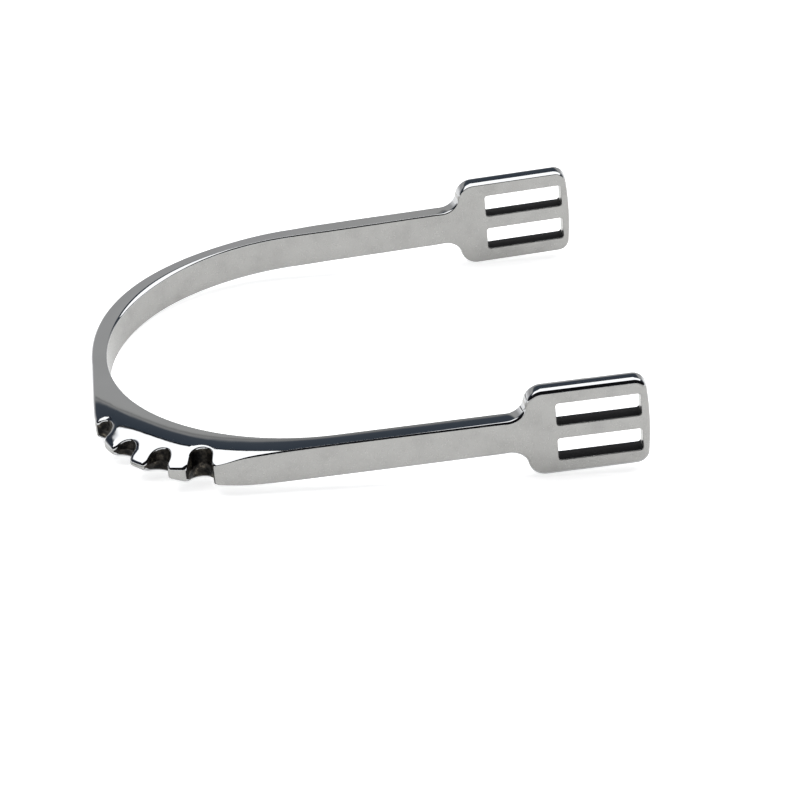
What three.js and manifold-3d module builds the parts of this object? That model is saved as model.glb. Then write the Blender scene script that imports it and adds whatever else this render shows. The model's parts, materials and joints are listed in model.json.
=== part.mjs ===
// A riding spur without rowel or shank: a flat U-shaped band of polished stainless steel that
// clips round the boot heel. The right-hand corner of the heel swells into a toothed ridge.
// Each branch ends in a rectangular plate with two slots for the spur strap.
//
// Millimetres, +Z up. +X runs from the heel to the open toe end and +Y to the plain, left side.
// The spur stands as on a table: on the heel and on the lower corners of the two strap plates.

import * as THREE from 'three';
import { mergeVertices } from 'three/addons/utils/BufferGeometryUtils.js';
import Module from 'manifold-3d';

// Driving dimensions of the U in plan. The inside of the heel is half an ellipse.
const INNER_LENGTH = 100; // inside of the heel to the open end
const HEEL_DEPTH = 42; // half-axis of the ellipse along X
const HEEL_HALF_WIDTH = 40; // half-axis of the ellipse along Y
const TOE_OUT = THREE.MathUtils.degToRad(1.48); // spread of each branch, 83 mm between the open ends
const BRANCH_THICKNESS = 3.4;
const HEEL_THICKNESS = 3.2;
const BRANCH_HEIGHT = 7.3;
const HEEL_HEIGHT = 6.2;
const HEIGHT_CHANGE_END = 1.1; // ellipse angle, in radians, where the band reaches full height
const CORNER_SWELL = 0.9; // extra thickness of the plain side at the corner of the heel
const CORNER_SWELL_END = 1.25; // ellipse angle where that extra thickness has run out

// Rounding of the band's long edges, and the crown of its upper and lower faces
const EDGE_RADIUS = 0.7;
const CROWN_START = 1.0; // distance from the inner face where the crown begins to fall
const CROWN_RADIUS = 25;

// Toothed ridge on the right-hand corner of the heel
const RIDGE_RADIUS = 25.3; // outline of the ridge in plan
const RIDGE_HEEL_LEAN = THREE.MathUtils.degToRad(2.2); // line that joins the ridge to the heel
const NOTCH_COUNT = 4;
const NOTCH_PITCH = THREE.MathUtils.degToRad(20.6);
const NOTCH_MIDDLE = THREE.MathUtils.degToRad(43.1); // direction of the middle of the row
const NOTCH_RADIUS = 2.4;
const NOTCH_DEPTH_HEEL = 2.8; // depth of the notch nearest the heel; the others deepen evenly
const NOTCH_DEPTH_BRANCH = 4.7; // depth of the notch nearest the branch

// Strap plates, measured along the branch from the heel-side end of the slots
const PLATE_HEIGHT = 19;
const PLATE_END = 18;
const PLATE_END_BULGE = 0.35;
const PLATE_CORNER_RADIUS = 2.7;
const SHOULDER_RADIUS = 3.6;
const SHOULDER_START = 2.3; // heel-side end of the plate's straight upper edge, before the slots
const NECK_LENGTH = 11.7; // from the slots back to where the plate meets the branch
const SLOT_LENGTH = 16.2;
const SLOT_HEIGHT = 4.75;
const SLOT_CORNER_RADIUS = 0.6;
const SLOT_BAR = 2.9; // bar between the two slots

const PIECE_GAP = 0.3; // between neighbouring pieces
const HEEL_STATIONS = 52; // steps of the sweep round the heel
const ROUND_STEPS = 2; // facets of a rounded edge
const CROWN_STEPS = 3;
const CURVE_SEGMENTS = 7;

const wasm = await Module();
wasm.setup();

// ---- solids ---------------------------------------------------------------------------------

function toSolid(geometry) {
  const bare = geometry.clone();
  bare.deleteAttribute('normal');
  bare.deleteAttribute('uv');
  const merged = mergeVertices(bare);
  return new wasm.Manifold(new wasm.Mesh({
    numProp: 3,
    vertProperties: new Float32Array(merged.getAttribute('position').array),
    triVerts: new Uint32Array(merged.getIndex().array),
  }));
}

function toGeometry(solid) {
  const mesh = solid.getMesh();
  const geometry = new THREE.BufferGeometry();
  geometry.setAttribute('position', new THREE.BufferAttribute(mesh.vertProperties, 3));
  geometry.setIndex(new THREE.BufferAttribute(mesh.triVerts, 1));
  geometry.computeVertexNormals();
  return geometry;
}

// ---- plan of the U --------------------------------------------------------------------------

// Ellipse angle, from the middle of the heel, where the straight branch begins
const heelEndAngle = Math.atan(HEEL_HALF_WIDTH / (HEEL_DEPTH * Math.tan(TOE_OUT)));

// Point on the inside of the heel. A negative angle is on the right, toothed side.
function heelPoint(angle) {
  return new THREE.Vector2(
    HEEL_DEPTH * (1 - Math.cos(angle)),
    HEEL_HALF_WIDTH * Math.sin(angle),
  );
}

function heelOutward(angle) {
  const across = new THREE.Vector2(
    -HEEL_HALF_WIDTH * Math.cos(angle),
    HEEL_DEPTH * Math.sin(angle),
  );
  return across.normalize();
}

// Smooth rise from 0 at the middle of the heel to 1 where the band has its full height
function heightShare(angle) {
  const share = Math.min(1, Math.abs(angle) / HEIGHT_CHANGE_END);
  return 0.5 - 0.5 * Math.cos(Math.PI * share);
}

function bandHeight(angle) {
  return HEEL_HEIGHT + (BRANCH_HEIGHT - HEEL_HEIGHT) * heightShare(angle);
}

// The outline of the toothed side is a line from the heel, the ridge's arc, and the line of the
// branch's outer face. Each line is {normal, offset}: points p with p . normal = offset.
const heelLine = {
  normal: new THREE.Vector2(-Math.cos(RIDGE_HEEL_LEAN), Math.sin(RIDGE_HEEL_LEAN)),
  offset: HEEL_THICKNESS * Math.cos(RIDGE_HEEL_LEAN),
};
const branchNormal = heelOutward(-heelEndAngle);
const branchLine = {
  normal: branchNormal,
  offset: heelPoint(-heelEndAngle).dot(branchNormal) + BRANCH_THICKNESS,
};

// Centre of the ridge's arc: one radius inside both lines
function ridgeArcCentre() {
  const a = heelLine.normal;
  const b = branchLine.normal;
  const p = heelLine.offset - RIDGE_RADIUS;
  const q = branchLine.offset - RIDGE_RADIUS;
  const scale = a.x * b.y - a.y * b.x;
  return new THREE.Vector2((p * b.y - q * a.y) / scale, (a.x * q - b.x * p) / scale);
}

const ridgeCentre = ridgeArcCentre();

// Thickness of the toothed side at an angle: the first part of the outline that the outward
// ray meets
function ridgeThickness(angle) {
  const start = heelPoint(angle);
  const ray = heelOutward(angle);
  const fromCentre = start.clone().sub(ridgeCentre);
  const along = fromCentre.dot(ray);
  const toArc = -along + Math.sqrt(along * along - fromCentre.lengthSq() + RIDGE_RADIUS ** 2);
  const hit = fromCentre.clone().addScaledVector(ray, toArc).divideScalar(RIDGE_RADIUS);
  const pastHeelLine = hit.x * heelLine.normal.y - hit.y * heelLine.normal.x > 0;
  const pastBranchLine = hit.x * branchLine.normal.y - hit.y * branchLine.normal.x < 0;
  if (!pastHeelLine && !pastBranchLine) {
    return toArc;
  }
  const line = pastHeelLine ? heelLine : branchLine;
  return (line.offset - start.dot(line.normal)) / ray.dot(line.normal);
}

function bandThickness(angle) {
  if (angle < 0) {
    return ridgeThickness(angle);
  }
  const swell = Math.sin(Math.PI * Math.min(1, angle / CORNER_SWELL_END)) ** 2;
  const plain = HEEL_THICKNESS + (BRANCH_THICKNESS - HEEL_THICKNESS) * heightShare(angle);
  return plain + CORNER_SWELL * swell;
}

// ---- section of the band --------------------------------------------------------------------

function crownDrop(across) {
  return Math.max(0, across - CROWN_START) ** 2 / (2 * CROWN_RADIUS);
}

// Upper half of the section as [distance from the inner face, height above the middle]
function upperSection(thickness, height) {
  const points = [];
  for (let i = 0; i <= ROUND_STEPS; i += 1) {
    const turn = (Math.PI / 2) * (i / ROUND_STEPS);
    points.push([
      EDGE_RADIUS * (1 - Math.cos(turn)),
      height / 2 - EDGE_RADIUS * (1 - Math.sin(turn)),
    ]);
  }
  const crownEnd = thickness - EDGE_RADIUS;
  for (let i = 1; i <= CROWN_STEPS; i += 1) {
    const across = EDGE_RADIUS + (crownEnd - EDGE_RADIUS) * (i / CROWN_STEPS);
    points.push([across, height / 2 - crownDrop(across)]);
  }
  const edgeTop = height / 2 - crownDrop(crownEnd);
  for (let i = 1; i <= ROUND_STEPS; i += 1) {
    const turn = (Math.PI / 2) * (i / ROUND_STEPS);
    points.push([
      crownEnd + EDGE_RADIUS * Math.sin(turn),
      edgeTop - EDGE_RADIUS * (1 - Math.cos(turn)),
    ]);
  }
  return points;
}

function bandSection(thickness, height) {
  const upper = upperSection(thickness, height);
  const lower = upper.map(([across, up]) => [across, -up]).reverse();
  return [...upper, ...lower];
}

// Closed solid through a row of sections. Each station is {start, outward, section}.
function sweptBand(stations) {
  const count = stations[0].section.length;
  const positions = [];
  for (const { start, outward, section } of stations) {
    for (const [across, up] of section) {
      positions.push(start.x + outward.x * across, start.y + outward.y * across, up);
    }
  }
  const triangles = [];
  for (let ring = 0; ring + 1 < stations.length; ring += 1) {
    for (let i = 0; i < count; i += 1) {
      const a = ring * count + i;
      const b = ring * count + ((i + 1) % count);
      triangles.push(a, b, b + count, a, b + count, a + count);
    }
  }
  const last = (stations.length - 1) * count;
  for (let i = 1; i + 1 < count; i += 1) {
    triangles.push(0, i + 1, i, last, last + i, last + i + 1);
  }
  const geometry = new THREE.BufferGeometry();
  geometry.setAttribute('position', new THREE.Float32BufferAttribute(positions, 3));
  geometry.setIndex(triangles);
  geometry.computeVertexNormals();
  return geometry;
}

// ---- heel band ------------------------------------------------------------------------------

// Vertical round-bottomed cutter that points from the ridge's outline towards its centre
function notchCutter(direction, depth) {
  const shape = new THREE.Shape();
  const bottom = RIDGE_RADIUS - depth + NOTCH_RADIUS;
  const outside = RIDGE_RADIUS + NOTCH_RADIUS;
  shape.moveTo(outside, -NOTCH_RADIUS);
  shape.lineTo(outside, NOTCH_RADIUS);
  shape.lineTo(bottom, NOTCH_RADIUS);
  shape.absarc(bottom, 0, NOTCH_RADIUS, Math.PI / 2, (3 * Math.PI) / 2);
  shape.closePath();
  const geometry = new THREE.ExtrudeGeometry(shape, {
    depth: 2 * BRANCH_HEIGHT,
    bevelEnabled: false,
    curveSegments: CURVE_SEGMENTS,
  });
  geometry.translate(0, 0, -BRANCH_HEIGHT);
  geometry.rotateZ(Math.PI + direction);
  geometry.translate(ridgeCentre.x, ridgeCentre.y, 0);
  return geometry;
}

function heelBand() {
  const stations = [];
  for (let i = 0; i <= HEEL_STATIONS; i += 1) {
    const angle = heelEndAngle - 2 * heelEndAngle * (i / HEEL_STATIONS);
    stations.push({
      start: heelPoint(angle),
      outward: heelOutward(angle),
      section: bandSection(bandThickness(angle), bandHeight(angle)),
    });
  }
  let solid = toSolid(sweptBand(stations));
  for (let i = 0; i < NOTCH_COUNT; i += 1) {
    const direction = NOTCH_MIDDLE + (i - (NOTCH_COUNT - 1) / 2) * NOTCH_PITCH;
    const share = i / (NOTCH_COUNT - 1);
    const depth = NOTCH_DEPTH_HEEL + (NOTCH_DEPTH_BRANCH - NOTCH_DEPTH_HEEL) * share;
    solid = solid.subtract(toSolid(notchCutter(direction, depth)));
  }
  return toGeometry(solid);
}

// ---- branches -------------------------------------------------------------------------------

// Each branch is drawn along +X with its inner face at y = 0 and its outer face at positive y
const heelEnd = heelPoint(heelEndAngle);
const slotStart = (INNER_LENGTH - heelEnd.x) / Math.cos(TOE_OUT) - PLATE_END;
const branchLength = slotStart - NECK_LENGTH;

function branch() {
  const outward = new THREE.Vector2(0, 1);
  const section = bandSection(BRANCH_THICKNESS, BRANCH_HEIGHT);
  return sweptBand([
    { start: new THREE.Vector2(branchLength, 0), outward, section },
    { start: new THREE.Vector2(PIECE_GAP, 0), outward, section },
  ]);
}

// ---- strap plates ---------------------------------------------------------------------------

// Outline seen from the side: x along the branch from the slots, y up. The branch's height
// opens through a hollow and a round shoulder into the plate's height.
function plateOutline() {
  const top = PLATE_HEIGHT / 2;
  const neck = BRANCH_HEIGHT / 2;
  const roundY = top - SHOULDER_RADIUS;
  const hollowY = neck + SHOULDER_RADIUS;
  const reach = Math.sqrt((2 * SHOULDER_RADIUS) ** 2 - (hollowY - roundY) ** 2);
  const roundX = -SHOULDER_START;
  const hollowX = roundX - reach;
  const meet = Math.atan2(hollowY - roundY, -reach);
  const back = -NECK_LENGTH - 2 * EDGE_RADIUS;
  const cornerX = PLATE_END - PLATE_END_BULGE - PLATE_CORNER_RADIUS;
  const cornerY = top - PLATE_CORNER_RADIUS;
  const shape = new THREE.Shape();
  shape.moveTo(back, -neck);
  shape.lineTo(hollowX, -neck);
  shape.absarc(hollowX, -hollowY, SHOULDER_RADIUS, Math.PI / 2, Math.PI - meet, true);
  shape.absarc(roundX, -roundY, SHOULDER_RADIUS, -meet, (3 * Math.PI) / 2, false);
  shape.lineTo(cornerX, -top);
  shape.absarc(cornerX, -cornerY, PLATE_CORNER_RADIUS, -Math.PI / 2, 0, false);
  shape.quadraticCurveTo(PLATE_END + PLATE_END_BULGE, 0, cornerX + PLATE_CORNER_RADIUS, cornerY);
  shape.absarc(cornerX, cornerY, PLATE_CORNER_RADIUS, 0, Math.PI / 2, false);
  shape.lineTo(roundX, top);
  shape.absarc(roundX, roundY, SHOULDER_RADIUS, Math.PI / 2, meet, false);
  shape.absarc(hollowX, hollowY, SHOULDER_RADIUS, meet - Math.PI, -Math.PI / 2, true);
  shape.lineTo(back, neck);
  shape.closePath();
  return shape;
}

function roundedRectangle(left, bottom, width, height, radius) {
  const right = left + width;
  const top = bottom + height;
  const shape = new THREE.Shape();
  shape.moveTo(left + radius, bottom);
  shape.absarc(right - radius, bottom + radius, radius, -Math.PI / 2, 0, false);
  shape.absarc(right - radius, top - radius, radius, 0, Math.PI / 2, false);
  shape.absarc(left + radius, top - radius, radius, Math.PI / 2, Math.PI, false);
  shape.absarc(left + radius, bottom + radius, radius, Math.PI, (3 * Math.PI) / 2, false);
  shape.closePath();
  return shape;
}

// Prism through the whole plate, used to cut it
function throughCutter(shape) {
  const geometry = new THREE.ExtrudeGeometry(shape, {
    depth: 3 * BRANCH_THICKNESS,
    bevelEnabled: false,
    curveSegments: 2,
  });
  geometry.translate(0, 0, -BRANCH_THICKNESS);
  return geometry;
}

// The plate lies in the XZ plane with its inner face at y = 0, like the branch
function strapPlate() {
  const blank = new THREE.ExtrudeGeometry(plateOutline(), {
    depth: BRANCH_THICKNESS - 2 * EDGE_RADIUS,
    bevelEnabled: true,
    bevelThickness: EDGE_RADIUS,
    bevelSize: EDGE_RADIUS,
    bevelOffset: -EDGE_RADIUS,
    bevelSegments: ROUND_STEPS,
    curveSegments: CURVE_SEGMENTS,
  });
  blank.translate(0, 0, EDGE_RADIUS);
  let solid = toSolid(blank);
  for (const bottom of [SLOT_BAR / 2, -SLOT_BAR / 2 - SLOT_HEIGHT]) {
    const slot = roundedRectangle(0, bottom, SLOT_LENGTH, SLOT_HEIGHT, SLOT_CORNER_RADIUS);
    solid = solid.subtract(toSolid(throughCutter(slot)));
  }
  const cutEnd = -NECK_LENGTH + PIECE_GAP;
  const behindNeck = new THREE.Shape([
    new THREE.Vector2(cutEnd - NECK_LENGTH, -BRANCH_HEIGHT),
    new THREE.Vector2(cutEnd, -BRANCH_HEIGHT),
    new THREE.Vector2(cutEnd, BRANCH_HEIGHT),
    new THREE.Vector2(cutEnd - NECK_LENGTH, BRANCH_HEIGHT),
  ]);
  solid = solid.subtract(toSolid(throughCutter(behindNeck)));
  const geometry = toGeometry(solid);
  geometry.rotateX(Math.PI / 2);
  geometry.translate(0, BRANCH_THICKNESS, 0);
  return geometry;
}

// ---- assembly -------------------------------------------------------------------------------

const steel = {
  polished: { color: 0xb9b9b6, roughness: 0.16, metalness: 1 },
  satin: { color: 0xb3b2ad, roughness: 0.28, metalness: 1 },
};

function piece(name, geometry, finish) {
  const mesh = new THREE.Mesh(geometry, new THREE.MeshStandardMaterial(finish));
  mesh.name = name;
  return mesh;
}

// Branch and plate of one side, hung on the end of the heel. The right side is the left one
// turned half round its own length, which leaves its outer face outwards.
function side(name, sign) {
  const arm = new THREE.Group();
  const plate = piece(`${name}_strap_plate`, strapPlate(), steel.satin);
  plate.position.x = slotStart;
  arm.add(piece(`${name}_branch`, branch(), steel.satin), plate);
  arm.rotation.x = sign > 0 ? 0 : Math.PI;
  const placed = new THREE.Group();
  placed.position.set(heelEnd.x, sign * heelEnd.y, 0);
  placed.rotation.z = sign * TOE_OUT;
  placed.add(arm);
  return placed;
}

// Tilt that brings the heel and the round lower shoulders of the plates down to one level. The
// foot is the line from the heel's lowest edge to the centre of a shoulder's arc.
const footLength = heelEnd.x + (slotStart - SHOULDER_START) * Math.cos(TOE_OUT)
  + HEEL_THICKNESS - EDGE_RADIUS;
const footDrop = PLATE_HEIGHT / 2 - SHOULDER_RADIUS - HEEL_HEIGHT / 2;
const restTilt = Math.atan2(footDrop, footLength)
  + Math.asin(SHOULDER_RADIUS / Math.hypot(footDrop, footLength));

const standing = new THREE.Group();
standing.rotation.y = -restTilt;
standing.add(piece('heel_band', heelBand(), steel.polished), side('left', 1), side('right', -1));

// The origin is the bottom centre of the standing spur
const box = new THREE.Box3().setFromObject(standing, true);
const middle = box.getCenter(new THREE.Vector3());
standing.position.set(-middle.x, -middle.y, -box.min.z);

const spur = new THREE.Group();
spur.add(standing);

export default spur;
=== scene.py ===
# Detailed visual model of a riding spur: one piece of steel in five parts, built round the packed
# frame. The shape is worked out in millimetres in the U's own plan, +X from heel to toe and the
# toothed ridge on the -Y side, and is then stood on the table and scaled to metres.

import json
import math
import bpy
import numpy as np
from mathutils import Matrix, Vector
from mathutils.geometry import delaunay_2d_cdt

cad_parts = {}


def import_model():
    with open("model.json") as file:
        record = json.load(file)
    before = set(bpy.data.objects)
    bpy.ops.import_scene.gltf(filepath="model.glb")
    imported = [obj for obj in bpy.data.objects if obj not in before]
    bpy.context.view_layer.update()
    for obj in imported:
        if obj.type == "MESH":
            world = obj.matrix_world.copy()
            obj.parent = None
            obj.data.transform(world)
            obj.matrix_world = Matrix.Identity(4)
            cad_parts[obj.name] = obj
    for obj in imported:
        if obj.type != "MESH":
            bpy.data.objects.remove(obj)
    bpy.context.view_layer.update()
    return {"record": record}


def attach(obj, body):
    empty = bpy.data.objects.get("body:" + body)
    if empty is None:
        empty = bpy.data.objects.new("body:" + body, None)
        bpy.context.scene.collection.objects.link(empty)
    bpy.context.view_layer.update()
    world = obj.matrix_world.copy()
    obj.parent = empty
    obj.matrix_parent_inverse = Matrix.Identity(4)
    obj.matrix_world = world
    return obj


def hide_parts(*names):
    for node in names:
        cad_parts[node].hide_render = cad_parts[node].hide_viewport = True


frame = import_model()

MM = 0.001

# ---- driving dimensions, in millimetres, as in the CAD model ---------------------------------

INNER_LENGTH = 100.0
HEEL_DEPTH = 42.0
HEEL_HALF_WIDTH = 40.0
TOE_OUT = math.radians(1.48)
BRANCH_THICKNESS = 3.4
HEEL_THICKNESS = 3.2
BRANCH_HEIGHT = 7.3
HEEL_HEIGHT = 6.2
HEIGHT_CHANGE_END = 1.1
CORNER_SWELL = 0.9
CORNER_SWELL_END = 1.25
EDGE_RADIUS = 0.7

RIDGE_RADIUS = 25.3
RIDGE_HEEL_LEAN = math.radians(2.2)
NOTCH_COUNT = 4
NOTCH_PITCH = math.radians(20.6)
NOTCH_MIDDLE = math.radians(43.1)
NOTCH_DEPTH_HEEL = 2.8
NOTCH_DEPTH_BRANCH = 4.7

PLATE_HEIGHT = 19.0
PLATE_END = 18.0
PLATE_END_BULGE = 0.35
PLATE_CORNER_RADIUS = 2.7
SHOULDER_RADIUS = 3.6
SHOULDER_START = 2.3
NECK_LENGTH = 11.7
SLOT_LENGTH = 16.2
SLOT_HEIGHT = 4.75
SLOT_CORNER_RADIUS = 0.6
SLOT_BAR = 2.9
PIECE_GAP = 0.3

# ---- finishing details that only the visual model has ----------------------------------------

CROWN_RADIUS = 32.0  # the upper face falls outwards from the inner face on this radius
RIDGE_CROWN_RADIUS = 31.0  # the same on the ridge, towards the heel
CROWN_END = 6.0  # from here outwards the crown falls straight
DOME_CENTRE = np.array([45.3, 7.6])  # the wheel has ground the ridge down as a dome round here
DOME_START = 51.7
DOME_RADIUS = 15.0
DOME_SLOPE = 0.277  # steepest slope of the dome
LATE_CROWN_RADIUS = 59.0  # the ridge's crown towards the branch
ROLL_ANGLE = math.radians(63.7)  # the teeth fall more steeply in this direction
ROLL_LENGTH = 4.2  # over this length before their tips
ROLL_START = 1.6
ROLL_SLOPE = 0.25
DOME_BRANCH_SHARE = 0.53  # how much of the dome is left at the ridge's branch end
LEFT_CROWN_RADIUS = 85.0  # the left branch is nearly flat and falls towards its inner face
CROWN_CHANGE = 9.0  # length over which its crown changes from the heel band's
LEFT_CROWNS = (LEFT_CROWN_RADIUS, 15.0)  # at the neck and on the strap plate
RIGHT_CROWNS = (CROWN_RADIUS, 17.0)
STEEP = 0.28  # upward part of an edge's normal below which it keeps the satin finish
NOTCH_RADIUS = 2.25  # round bottom of a notch
NOTCH_FLARE = math.radians(4.0)  # slope of a notch's sides
TIP_RADIUS = 0.95  # corners of the teeth in plan
CREASE = 0.42  # parting line that stands proud at half height inside a notch
EDGE_TURN = math.radians(33.0)  # slope where an edge's soft arc gives way to its crisp arc
RIM_POLISH = 0.10  # band between a notch's rounded rim and its dark skin, polished only on the rims that face the way below: a painted highlight
PAINTED_HIGHLIGHT_WAY = np.array([0.5, -0.86])  # only the rims that face this way get the polished finish, a painted highlight; the other notch rims get the dark cast skin, painted shade
PAINTED_HIGHLIGHT_LEAST = 0.35
SAG_WIDTH = 1.1  # how far from the notches the polishing wheel has worn the upper face down
SAG_DEPTH = 0.04
FIRST_SAG = 2.6  # the notch nearest the heel's middle is worn deeper by this share
UNDER_FULLNESS = 0.2  # share of the ridge's fall that its underside does not have

# Stretches of the ridge, in degrees of ellipse angle from the middle of the heel: where a shape
# begins, is full, starts to fade and has ended
RIDGE_CROWN_SPAN = (8.0, 20.0, 60.0, 88.0)
DOME_SPAN = (4.0, 16.0, 72.0, 90.0)
ROLL_SPAN = (22.0, 37.0, 67.0, 76.0)
UNDER_SPAN = (4.0, 16.0, 72.0, 86.0)
LATE_CROWN_START, LATE_CROWN_FULL = 32.0, 57.0
LATE_DOME_START, LATE_DOME_FULL = 35.5, 56.0

# Lengths of outline over which one edge rounding changes to the next
HEEL_EDGE_RUN = 15.0
TIP_EDGE_RUN = 6.0
NOTCH_EDGE_RUN = 1.3
BRANCH_START_RUN = 0.8
BRANCH_EDGE_START, BRANCH_EDGE_RUN = 1.0, 9.0
FIRST_SAG_RUN = 4.0  # place and width of the deeper wear at the first notch
PROUD_START, PROUD_RUN = 0.5, 1.8  # depth in a notch where its parting line begins to stand out
PARTING_HEIGHT, PARTING_WIDTH = 0.12, 0.05  # sharp line on the middle of it
NOTCH_ROUGHNESS, NOTCH_ROUGH_LENGTH = 0.05, 1.6
CORNER_ANGLE, CORNER_SPREAD = 0.75, 0.55  # soft inner edge at the plain corner, ellipse angle

SLOT_RIM = 0.15  # rounding of a slot's rims
SLOT_CREASE = 0.12
SOFT_ROWS = 5
CRISP_ROWS = 9
CROWN_ROWS = 5
INNER_STATIONS = 260
SEED = 7

# Edge radii as (soft arc, crisp arc)
HEEL_OUTER_EDGE = np.array([0.7, 0.7])
TIP_EDGE = np.array([0.6, 0.9])
NOTCH_EDGE = np.array([0.25, 0.30])
BRANCH_START_EDGE = np.array([0.03, 0.15])
BRANCH_OUTER_EDGE = np.array([0.03, 0.50])
BRANCH_INNER_EDGE = np.array([0.10, 0.36])
CORNER_INNER_EDGE = np.array([1.90, 0.20])
PLATE_OUTER_EDGE = np.array([1.10, 0.95])
PLATE_INNER_EDGE = np.array([1.90, 0.18])
NECK_OUTER_EDGE = np.array([0.25, 0.60])
NECK_INNER_EDGE = np.array([0.10, 0.36])
WORN_HEEL = 4.0  # the wear fades out over this length of outline, towards the heel
WORN_BRANCH = 9.0  # and towards the branch


def smooth(share):
    share = np.clip(share, 0.0, 1.0)
    return share * share * (3.0 - 2.0 * share)


def between(start, end, share):
    return start + (end - start) * share


# ---- surfaces --------------------------------------------------------------------------------

# the fourth finish is the near-black slot wall, painted shade
POLISHED, SATIN, CAST, SLOT_SHADE = range(4)


class Surface:
    """Collects faces with a normal at each corner, and makes one closed mesh of them."""

    def __init__(self):
        self.points = []
        self.normals = []
        self.faces = []
        self.finishes = []
        self.count = 0

    def add_points(self, points, normals):
        first = self.count
        self.points.append(np.asarray(points, float).reshape(-1, 3))
        self.normals.append(np.asarray(normals, float).reshape(-1, 3))
        self.count += len(self.points[-1])
        return first

    def grid(self, points, normals, finish, closed=False):
        """A sheet of quads. finish is one value, or an array that spreads over rows x strips."""
        rows, columns = points.shape[:2]
        first = self.add_points(points, normals)
        finish = np.broadcast_to(finish, (rows, columns - 1))
        for i in range(rows if closed else rows - 1):
            here = first + i * columns
            after = first + ((i + 1) % rows) * columns
            for j in range(columns - 1):
                self.faces.append((here + j, here + j + 1, after + j + 1, after + j))
                self.finishes.append(int(finish[i, j]))

    def triangles(self, points, normals, triangles, finish):
        first = self.add_points(points, normals)
        for a, b, c in triangles:
            self.faces.append((first + a, first + b, first + c))
            self.finishes.append(finish)

    def cap(self, loop, normal, finish):
        first = self.add_points(loop, np.tile(normal, (len(loop), 1)))
        self.faces.append(tuple(range(first, first + len(loop))))
        self.finishes.append(finish)

    def mesh(self, name, place):
        points = np.concatenate(self.points)
        normals = np.concatenate(self.normals)
        turn = np.array(place.to_3x3())
        shift = np.array(place.translation)
        normals = normals @ turn.T
        normals /= np.linalg.norm(normals, axis=1)[:, None]
        keys = np.round(points, 4) + 0.0
        _, sample, weld = np.unique(keys, axis=0, return_index=True, return_inverse=True)
        weld = weld.reshape(-1)
        welded = points[sample] @ turn.T + shift
        faces, finishes, corners = [], [], []
        for face, finish in zip(self.faces, self.finishes):
            ring, used = [], []
            for corner in face:
                point = int(weld[corner])
                if point not in ring:
                    ring.append(point)
                    used.append(corner)
            if len(ring) < 3:
                continue
            ring_points = welded[ring]
            rolled = np.roll(ring_points, -1, axis=0)
            area = np.cross(ring_points - ring_points[0], rolled - ring_points[0]).sum(axis=0)
            if area @ normals[used].sum(axis=0) < 0:
                ring.reverse()
                used.reverse()
            faces.append(ring)
            finishes.append(finish)
            corners.extend(used)
        mesh = bpy.data.meshes.new(name)
        mesh.from_pydata([Vector(p) * MM for p in welded], [], faces)
        mesh.polygons.foreach_set("material_index", finishes)
        mesh.polygons.foreach_set("use_smooth", [True] * len(faces))
        mesh.normals_split_custom_set([tuple(normals[c]) for c in corners])
        mesh.update()
        return mesh


def grid_normals(points, outward):
    """Normals of a sheet of points, turned to the side of `outward`."""
    along = np.gradient(points, axis=0)
    across = np.gradient(points, axis=1)
    normals = np.cross(along, across)
    normals /= np.linalg.norm(normals, axis=2)[..., None]
    side = np.sign((normals * outward).sum(axis=2))
    return normals * side[..., None]


def with_height(plan, height):
    return np.concatenate([plan, np.broadcast_to(height, plan.shape[:-1])[..., None]], axis=-1)


def edge_rows(soft, crisp, lean):
    """A rounded edge from a face of slope `lean` to the vertical, for a row of stations: distance
    from the vertical face, fall below the start, and slope, each as stations x rows."""
    turn = np.maximum(lean, EDGE_TURN)
    steps_soft = np.linspace(0.0, 1.0, SOFT_ROWS)[None, :]
    steps_crisp = np.linspace(0.0, 1.0, CRISP_ROWS)[None, 1:]
    first = lean[:, None] + (turn - lean)[:, None] * steps_soft
    second = turn[:, None] + (math.pi / 2 - turn)[:, None] * steps_crisp
    soft, crisp = soft[:, None], crisp[:, None]
    lean, turn = lean[:, None], turn[:, None]
    reach = soft * (np.sin(turn) - np.sin(lean)) + crisp * (1.0 - np.sin(turn))
    gone_first = soft * (np.sin(first) - np.sin(lean))
    fall_first = soft * (np.cos(lean) - np.cos(first))
    gone_second = soft * (np.sin(turn) - np.sin(lean)) + crisp * (np.sin(second) - np.sin(turn))
    fall_second = soft * (np.cos(lean) - np.cos(turn)) + crisp * (np.cos(turn) - np.cos(second))
    gone = np.concatenate([gone_first, gone_second], axis=1)
    fall = np.concatenate([fall_first, fall_second], axis=1)
    slope = np.concatenate([first, second], axis=1)
    return reach - gone, fall, slope


def fill(boundary, holes, inner_points):
    """Triangles between closed plan curves: (points, triangles), boundary points first."""
    loops = [boundary, *holes]
    points = [Vector(p) for loop in loops for p in loop]
    edges, first = [], 0
    for loop in loops:
        count = len(loop)
        edges += [(first + i, first + (i + 1) % count) for i in range(count)]
        first += count
    points += [Vector(p) for p in inner_points]
    found, _, faces, sources, _, _ = delaunay_2d_cdt(points, edges, [], 0, 1e-6)
    order = np.array([source[0] for source in sources])
    place = np.empty(len(order), int)
    place[np.argsort(order)] = np.arange(len(order))
    found = np.array([tuple(p) for p in found])[np.argsort(order)]
    faces = place[np.array([f for f in faces if len(f) == 3])]
    middles = found[faces].mean(axis=1)
    keep = inside(middles, boundary)
    sides = found[faces[:, 1:]] - found[faces[:, :1]]
    keep &= np.abs(sides[:, 0, 0] * sides[:, 1, 1] - sides[:, 0, 1] * sides[:, 1, 0]) > 1e-4
    for hole in holes:
        keep &= ~inside(middles, hole)
    return found, faces[keep]


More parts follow.
